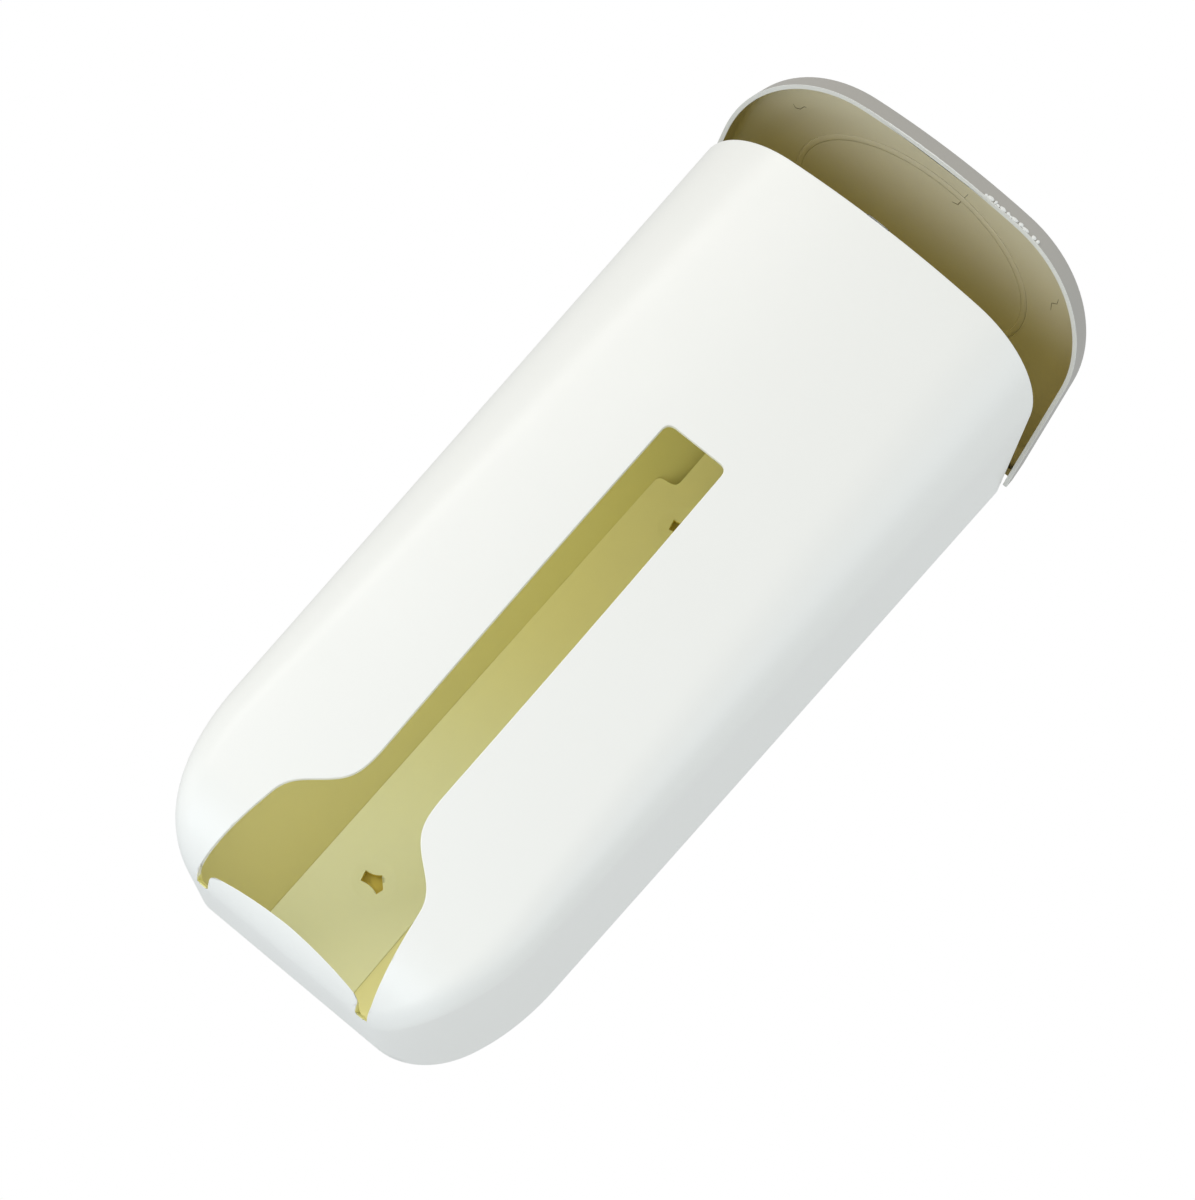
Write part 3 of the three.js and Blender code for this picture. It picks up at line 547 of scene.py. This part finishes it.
def lid_block(name, skin):
    crown = LID_HEIGHT - skin
    edge = LID_EDGE - skin / 2
    rings = [lid_ring(-FAR if skin else 0.0, skin)]
    for i in (1, 2):
        rings.append(lid_ring((crown - edge) * i / 3, skin + LID_DRAFT * (crown - edge) * i / 3 / LID_HEIGHT))
    for i in range(9):
        angle = math.pi / 2 * i / 8
        z = crown - edge + edge * math.sin(angle)
        rings.append(lid_ring(z, skin + LID_DRAFT * z / LID_HEIGHT + edge * (1 - math.cos(angle))))
    return loft(name, rings)


def pivot_in_lid():
    dy = (BACK_Y - PIVOT_DEPTH) - (BACK_Y - LID_END_DEPTH)
    dz = PIVOT_HEIGHT - LID_END_HEIGHT
    c, s = math.cos(LID_TILT), math.sin(LID_TILT)
    return dy * c - dz * s, dy * s + dz * c


def wall_cut(name, skin):
    y, z = pivot_in_lid()
    reach = PIVOT_DEPTH - LID_WALL_CLEARANCE - skin
    y, z = y + reach * math.cos(LID_TILT_MAX), z + reach * math.sin(LID_TILT_MAX)
    return half_space(name, y, z, LID_TILT_MAX)


def paint_lid(lid):
    """Gives the lid's hollow side material 1 and the lower edge of its skirt material 2. Material 1 is
    painted light and shade: a yellowish grey for the light that the cream inside throws up under the lid,
    darkening deeper in.
    """
    for face in lid.data.polygons:
        centre, normal = face.center / MM, face.normal
        if abs(centre.z) < 0.5 and normal.z < -0.3:
            face.material_index = 2
        elif faces_inwards(centre, normal):
            face.material_index = 1


def faces_inwards(centre, normal):
    """True on the walls of the lid's hollow and on the underside of its plate."""
    if normal.z < -0.3:
        return True
    middle = Vector((0, -LID_LENGTH / 2, centre.z))
    towards = middle - centre
    towards.y *= 0.6
    return normal.dot(towards) > 0


def make_lid():
    lid = lid_block("lid_cap", 0)
    combine(lid, wall_cut("wall", 0), "DIFFERENCE")
    hollow = lid_block("hollow", LID_WALL)
    combine(hollow, wall_cut("wall", LID_WALL), "DIFFERENCE")
    combine(lid, hollow, "DIFFERENCE")
    gap = LID_HALF - LID_FLARE - LID_WALL
    combine(lid, slab("rear", (-gap, -LID_WALL - REAR_CUT, -FAR), (gap, FAR, LID_REAR_EDGE)), "DIFFERENCE")
    y, z = pivot_in_lid()
    root = LID_HEIGHT - LID_WALL / 2
    ear = []
    for i in range(EAR_STEPS + 1):
        angle = EAR_START + EAR_SWEEP * i / EAR_STEPS
        ear.append((y + EAR_RADIUS * math.cos(angle), z + EAR_RADIUS * math.sin(angle)))
    ear += [(-LID_WALL / 2, 1), (-LID_WALL / 2, 3), (EAR_ROOT_REAR, root), (EAR_ROOT_FRONT, root)]
    bore = [(y + PIN_BORE * math.cos(math.pi * i / 16), z + PIN_BORE * math.sin(math.pi * i / 16))
            for i in range(32)]
    for side in (-1, 1):
        faces = sorted((side * EAR_OUTER, side * (EAR_OUTER - EAR_SHEET)))
        plate = prism("ear", ear, "x", *faces)
        combine(plate, wall_cut("wall", LID_WALL / 2), "DIFFERENCE")
        combine(lid, plate, "UNION")
        combine(lid, prism("bore", bore, "x", faces[0] - FAR, faces[1] + FAR), "DIFFERENCE")
    smooth(lid, LID_RIM_EDGE, segments=2)
    paint_lid(lid)
    return place_on_lid(lid)


def place_on_lid(obj):
    """Moves a mesh from the lid's own frame to its place in the row."""
    place = Matrix.Translation((0, (BACK_Y - LID_END_DEPTH) * MM, LID_END_HEIGHT * MM))
    obj.data.transform(place @ Matrix.Rotation(-LID_TILT, 4, "X"))
    return obj


def bead(path, radius, flatness, closed=False, sides=8):
    """Vertices and faces of a thin bead along a path square to +Z. An open one tapers to its ends."""
    count = len(path)
    verts, faces = [], []
    for i, point in enumerate(path):
        before = path[(i - 1) % count] if closed or i else point
        after = path[(i + 1) % count] if closed or i < count - 1 else point
        along = (Vector(after) - Vector(before)).normalized()
        across = along.cross(Vector((0, 0, 1)))
        taper = 1.0 if closed else 0.3 + 0.7 * math.sin(math.pi * (i + 0.5) / count)
        for j in range(sides):
            angle = 2 * math.pi * j / sides
            offset = across * math.cos(angle) + Vector((0, 0, flatness * math.sin(angle)))
            verts.append(Vector(point) + offset * radius * taper)
    for i in range(count if closed else count - 1):
        for j in range(sides):
            a, b = i * sides + j, i * sides + (j + 1) % sides
            c, d = (i + 1) % count * sides + (j + 1) % sides, (i + 1) % count * sides + j
            faces.append((a, b, c, d))
    if not closed:
        faces.append(tuple(range(sides)))
        faces.append(tuple(range((count - 1) * sides, count * sides)))
    return verts, faces


def joined(name, parts):
    """One mesh from several lists of vertices and faces."""
    verts, faces = [], []
    for part_verts, part_faces in parts:
        faces += [tuple(len(verts) + v for v in face) for face in part_faces]
        verts += part_verts
    obj = mesh_object(name, verts, faces)
    obj.data.polygons.foreach_set("use_smooth", [True] * len(obj.data.polygons))
    return obj


def make_lid_ring():
    """The faint oval witness line that moulding leaves on the underside of the lid's plate."""
    turns = [2 * math.pi * i / 96 for i in range(96)]
    wide, long = LID_OVAL
    path = [(wide * math.cos(t), -LID_OVAL_REACH + long * math.sin(t), LID_CEILING) for t in turns]
    return place_on_lid(joined("lid_witness_line", [bead(path, 1.1, 0.16, closed=True)]))


def make_lid_scuffs():
    """Three short scuffs on the underside of the lid's plate."""
    paths = []
    for marks in LID_SCUFFS:
        path = []
        for (x0, r0), (x1, r1) in zip(marks, marks[1:]):
            path += [(x0 + (x1 - x0) * i / 4, -r0 - (r1 - r0) * i / 4, LID_CEILING) for i in range(4)]
        paths.append(bead(path, 0.16, 0.4))
    return place_on_lid(joined("lid_scuffs", paths))


def rim_point(x):
    """The outer edge of the lid's rim at x, along its front."""
    front = [p for p in lid_ring(0.0, 0.0) if p[1] < -LID_LENGTH / 2]
    front.sort()
    for a, b in zip(front, front[1:]):
        if a[0] <= x <= b[0]:
            return a[1] + (b[1] - a[1]) * (x - a[0]) / (b[0] - a[0])
    return front[-1][1]


def make_lid_flash():
    """Ragged moulding flash on the rim of the lid: a fine line, and lumps to the right of its middle."""
    dice = random.Random(FLASH_SEED)
    parts = []
    start, end = FLASH_LINE
    path = []
    for i in range(FLASH_STEPS + 1):
        x = start + (end - start) * i / FLASH_STEPS
        path.append((x, rim_point(x) - 0.05 + 0.12 * dice.random(), 0.05 + 0.12 * dice.random()))
    parts.append(bead(path, 0.26, 0.9))
    x = FLASH_LUMPS[0]
    while x < FLASH_LUMPS[1]:
        length, height = 0.9 + 1.7 * dice.random(), 0.6 + 0.95 * dice.random() ** 1.5
        path = []
        for i in range(7):
            along = x + length * (i / 6 - 0.5)
            path.append((along, rim_point(along) - 0.1, 0.5 * height + 0.2 * dice.random()))
        parts.append(bead(path, 0.5 * height, 1.0))
        x += length * (0.75 + 0.7 * dice.random())
    return place_on_lid(joined("lid_flash", parts))


# ------------------------------------------------------------------ materials
def tone_ramp(nodes, links, drift, color, tone):
    """The socket of a colour that drifts a little around its mean."""
    ramp = nodes.new("ShaderNodeValToRGB")
    for stop, factor in ((0, 1 - tone), (1, 1 + tone)):
        ramp.color_ramp.elements[stop].color = [min(c * factor, 1.0) for c in color] + [1.0]
    ramp.color_ramp.elements[0].position = 0.3
    ramp.color_ramp.elements[1].position = 0.7
    links.new(drift.outputs["Fac"], ramp.inputs["Fac"])
    return ramp.outputs["Color"]


def plastic(name, color, roughness, grain=0.02, tone=0.03, far_painted_light_color=None, painted_light_fade=None):
    """Moulded plastic: slight tone drift, soft sheen variation and a very fine skin.

    With a far colour the colour shifts from color to that far colour along the fade (axis, start, end) in
    metres; this blend is painted light and shade, making the surface lighter or darker along the axis as
    light falls on it.
    """
    material = bpy.data.materials.new(name)
    material.use_nodes = True
    nodes, links = material.node_tree.nodes, material.node_tree.links
    shader = nodes["Principled BSDF"]
    shader.inputs["IOR"].default_value = 1.49
    shader.inputs["Specular IOR Level"].default_value = 0.45
    where = nodes.new("ShaderNodeTexCoord")
    drift = nodes.new("ShaderNodeTexNoise")
    drift.inputs["Scale"].default_value = 9.0
    drift.inputs["Detail"].default_value = 3.0
    links.new(where.outputs["Object"], drift.inputs["Vector"])
    base = tone_ramp(nodes, links, drift, color, tone)
    # The blend towards the far colour is painted light and shade, not pigment.
    if far_painted_light_color:
        axis, start, end = painted_light_fade
        split = nodes.new("ShaderNodeSeparateXYZ")
        links.new(where.outputs["Object"], split.inputs["Vector"])
        along = nodes.new("ShaderNodeMapRange")
        along.interpolation_type = "SMOOTHSTEP"
        along.inputs["From Min"].default_value = start
        along.inputs["From Max"].default_value = end
        links.new(split.outputs[axis], along.inputs["Value"])
        mix = nodes.new("ShaderNodeMix")
        mix.data_type = "RGBA"
        links.new(along.outputs["Result"], mix.inputs["Factor"])
        links.new(base, mix.inputs[6])
        links.new(tone_ramp(nodes, links, drift, far_painted_light_color, tone), mix.inputs[7])
        base = mix.outputs[2]
    links.new(base, shader.inputs["Base Color"])
    sheen = nodes.new("ShaderNodeTexNoise")
    sheen.inputs["Scale"].default_value = 45.0
    sheen.inputs["Detail"].default_value = 4.0
    links.new(where.outputs["Object"], sheen.inputs["Vector"])
    spread = nodes.new("ShaderNodeMapRange")
    spread.inputs["To Min"].default_value = roughness - 0.06
    spread.inputs["To Max"].default_value = roughness + 0.06
    links.new(sheen.outputs["Fac"], spread.inputs["Value"])
    links.new(spread.outputs["Result"], shader.inputs["Roughness"])
    skin = nodes.new("ShaderNodeTexNoise")
    skin.inputs["Scale"].default_value = 1400.0
    skin.inputs["Detail"].default_value = 2.0
    links.new(where.outputs["Object"], skin.inputs["Vector"])
    bump = nodes.new("ShaderNodeBump")
    bump.inputs["Strength"].default_value = grain
    bump.inputs["Distance"].default_value = 0.0002
    links.new(skin.outputs["Fac"], bump.inputs["Height"])
    links.new(bump.outputs["Normal"], shader.inputs["Normal"])
    return material


def steel(name):
    """Bright zinc with a fine turned grain."""
    material = bpy.data.materials.new(name)
    material.use_nodes = True
    nodes, links = material.node_tree.nodes, material.node_tree.links
    shader = nodes["Principled BSDF"]
    shader.inputs["Metallic"].default_value = 1.0
    where = nodes.new("ShaderNodeTexCoord")
    grain = nodes.new("ShaderNodeTexNoise")
    grain.inputs["Scale"].default_value = 900.0
    links.new(where.outputs["Object"], grain.inputs["Vector"])
    spread = nodes.new("ShaderNodeMapRange")
    spread.inputs["To Min"].default_value = 0.22
    spread.inputs["To Max"].default_value = 0.42
    links.new(grain.outputs["Fac"], spread.inputs["Value"])
    links.new(spread.outputs["Result"], shader.inputs["Roughness"])
    ramp = nodes.new("ShaderNodeValToRGB")
    ramp.color_ramp.elements[0].color = (0.55, 0.56, 0.58, 1)
    ramp.color_ramp.elements[1].color = (0.70, 0.71, 0.72, 1)
    links.new(grain.outputs["Fac"], ramp.inputs["Fac"])
    links.new(ramp.outputs["Color"], shader.inputs["Base Color"])
    return material


white = plastic("white_plastic", (0.87, 0.865, 0.82), 0.38, tone=0.006)
# Cream for the strip and back plate with painted light: paler low down near the outlet where light comes in,
# deeper yellow higher up where less light reaches.
cream = plastic("cream_plastic", (0.94, 0.95, 0.60), 0.45, tone=0.012,
                far_painted_light_color=(0.92, 0.86, 0.36), painted_light_fade=("Z", 0.03, 0.16))
# The guide's two creams are lit and shaded copies of one plastic: painted shade on the left, painted light on
# the right, standing in for light through the wall falling unevenly; both also shift with height as painted
# light.
cream_painted_shade_left = plastic("cream_guide_painted_shade_left", (0.75, 0.70, 0.29), 0.45, tone=0.012,
                     far_painted_light_color=(0.90, 0.84, 0.30), painted_light_fade=("Z", 0.05, 0.19))
cream_painted_light_right = plastic("cream_guide_painted_light_right", (0.90, 0.86, 0.42), 0.45, tone=0.012,
                      far_painted_light_color=(0.90, 0.84, 0.33), painted_light_fade=("Z", 0.03, 0.16))
# Painted shade for the hollows behind the screw openings: a deep amber in place of the cream strip's own
# colour.
seat_painted_shade = plastic("seat_painted_shade", (0.96, 0.80, 0.14), 0.5, tone=0.02)
# Painted light: the white slopes at the notch ends are coloured cream for the yellow light that falls on them
# from inside.
notch_painted_light = plastic("notch_painted_light", (0.90, 0.86, 0.40), 0.45, tone=0.02)
grey = plastic("warm_grey_plastic", (0.43, 0.41, 0.37), 0.45, tone=0.02)
# Painted light and shade on the lid's hollow side: the warm grey lid is tinted yellow by light bounced up
# from the cream inside, and painted darker deeper in.
lid_inside_painted_light = plastic("warm_grey_inside_painted_light", (0.76, 0.70, 0.51), 0.5, tone=0.03,
                      far_painted_light_color=(0.36, 0.285, 0.085), painted_light_fade=("Z", 0.325, 0.303))
flash_grey = plastic("flash_grey", (0.80, 0.80, 0.76), 0.6, grain=0.2, tone=0.04)
scuff = plastic("scuff_brown", (0.20, 0.17, 0.10), 0.6, tone=0.05)
grey_edge = plastic("warm_grey_edge", (0.72, 0.72, 0.68), 0.35, tone=0.03)
zinc = steel("zinc_steel")

# ------------------------------------------------------------------ pieces
for piece, node, body, slot, materials in (
    (make_shell(), "body_shell", "case", "shell", [white, notch_painted_light]),
    (make_guide(), "bag_guide", "case", "inner", [cream_painted_shade_left, cream_painted_light_right]),
    (make_strip(), "mounting_strip", "case", "inner", [cream, seat_painted_shade]),
    (make_lid(), "lid", "lid", "lid", [grey, lid_inside_painted_light, grey_edge]),
):
    for material in materials:
        piece.data.materials.append(material)
    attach(piece, body)
    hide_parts(node)

for piece, material in (
    (make_lid_ring(), lid_inside_painted_light),
    (make_lid_scuffs(), scuff),
    (make_lid_flash(), flash_grey),
):
    piece.data.materials.append(material)
    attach(piece, "lid")

for name, obj in frame["nodes"].items():
    material = cream if name == "back_plate" else zinc
    for slot in obj.material_slots:
        slot.material = material

# ------------------------------------------------------------------ stage, light and camera
FLOOR_HALF, FLOOR_LEVEL, FLOOR_SHEET = 6000, -600, 10


def floor():
    low, high = (-FLOOR_HALF, -FLOOR_HALF, FLOOR_LEVEL - FLOOR_SHEET), (FLOOR_HALF, FLOOR_HALF, FLOOR_LEVEL)
    obj = slab("floor", low, high)
    material = plastic("floor_paint", (0.86, 0.86, 0.86), 0.8)
    obj.data.materials.append(material)


def area_light(name, place, target, size, power, color=(1, 1, 1), height=None):
    """A soft disk aimed at target, or an upright panel when a height is given."""
    light = bpy.data.lights.new(name, "AREA")
    light.shape = "RECTANGLE" if height else "DISK"
    light.size = size
    light.size_y = height or size
    light.energy = power
    light.color = color
    obj = bpy.data.objects.new(name, light)
    bpy.context.scene.collection.objects.link(obj)
    obj.location = place
    obj.visible_camera = False
    direction = Vector(target) - Vector(place)
    obj.rotation_euler = direction.to_track_quat("-Z", "Y").to_euler()


def world():
    scene = bpy.context.scene
    scene.world = bpy.data.worlds.new("studio")
    scene.world.use_nodes = True
    nodes, links = scene.world.node_tree.nodes, scene.world.node_tree.links
    nodes.clear()
    output = nodes.new("ShaderNodeOutputWorld")
    mix = nodes.new("ShaderNodeMixShader")
    path = nodes.new("ShaderNodeLightPath")
    light = nodes.new("ShaderNodeBackground")
    light.inputs["Color"].default_value = (0.95, 0.98, 1.0, 1)
    light.inputs["Strength"].default_value = 0.64
    seen = nodes.new("ShaderNodeBackground")
    seen.inputs["Color"].default_value = (1, 1, 1, 1)
    seen.inputs["Strength"].default_value = 1.0
    links.new(path.outputs["Is Camera Ray"], mix.inputs["Fac"])
    links.new(light.outputs["Background"], mix.inputs[1])
    links.new(seen.outputs["Background"], mix.inputs[2])
    links.new(mix.outputs["Shader"], output.inputs["Surface"])


def camera():
    """Looks up at the dispenser from the front right, turned about its line of sight."""
    azimuth, elevation, roll = (math.radians(a) for a in (11.622, -10.459, 40.947))
    distance, right_shift, up_shift = 1628.45, 2.677, 2.626
    target = Vector((0, -45 + BACK_Y, 155))
    level_part = math.cos(elevation)
    away = Vector((math.sin(azimuth) * level_part, -math.cos(azimuth) * level_part, math.sin(elevation)))
    level = Vector((math.cos(azimuth), math.sin(azimuth), 0))
    upright = level.cross(-away)
    right = level * math.cos(roll) + upright * math.sin(roll)
    up = -level * math.sin(roll) + upright * math.cos(roll)
    place = (target + away * distance - right * right_shift - up * up_shift) * MM
    data = bpy.data.cameras.new("camera")
    data.sensor_fit = "HORIZONTAL"
    data.sensor_width = 36.0
    data.lens = 154.98
    data.clip_start = 0.05
    data.clip_end = 60.0
    obj = bpy.data.objects.new("camera", data)
    bpy.context.scene.collection.objects.link(obj)
    turn = Matrix((right, up, away)).transposed().to_4x4()
    obj.matrix_world = Matrix.Translation(place) @ turn
    bpy.context.scene.camera = obj


floor()
world()
camera()
area_light("key", (-1.25, -1.7, 0.65), (0, 0, 0.15), 1.2, 15.0, (1.0, 0.96, 0.91))
area_light("right", (1.6, -0.4, 0.7), (0, 0, 0.15), 1.2, 6.1, (0.85, 0.93, 1.0))
area_light("under", (-0.1, -0.3, -0.55), (0, 0, 0.05), 0.7, 2.2, (0.76, 0.87, 1.0))
# The two panels inside the case stand in for the daylight that comes through its walls.
area_light("glow", (-0.052, -0.024, 0.145), (0.012, 0.012, 0.145), 0.012, 0.0145, (1.0, 0.96, 0.86), 0.19)
area_light("low_glow", (-0.035, -0.034, 0.032), (0.03, 0.02, 0.02), 0.012, 0.0048, (1.0, 0.96, 0.84), 0.03)
bpy.context.scene.view_settings.view_transform = "Standard"
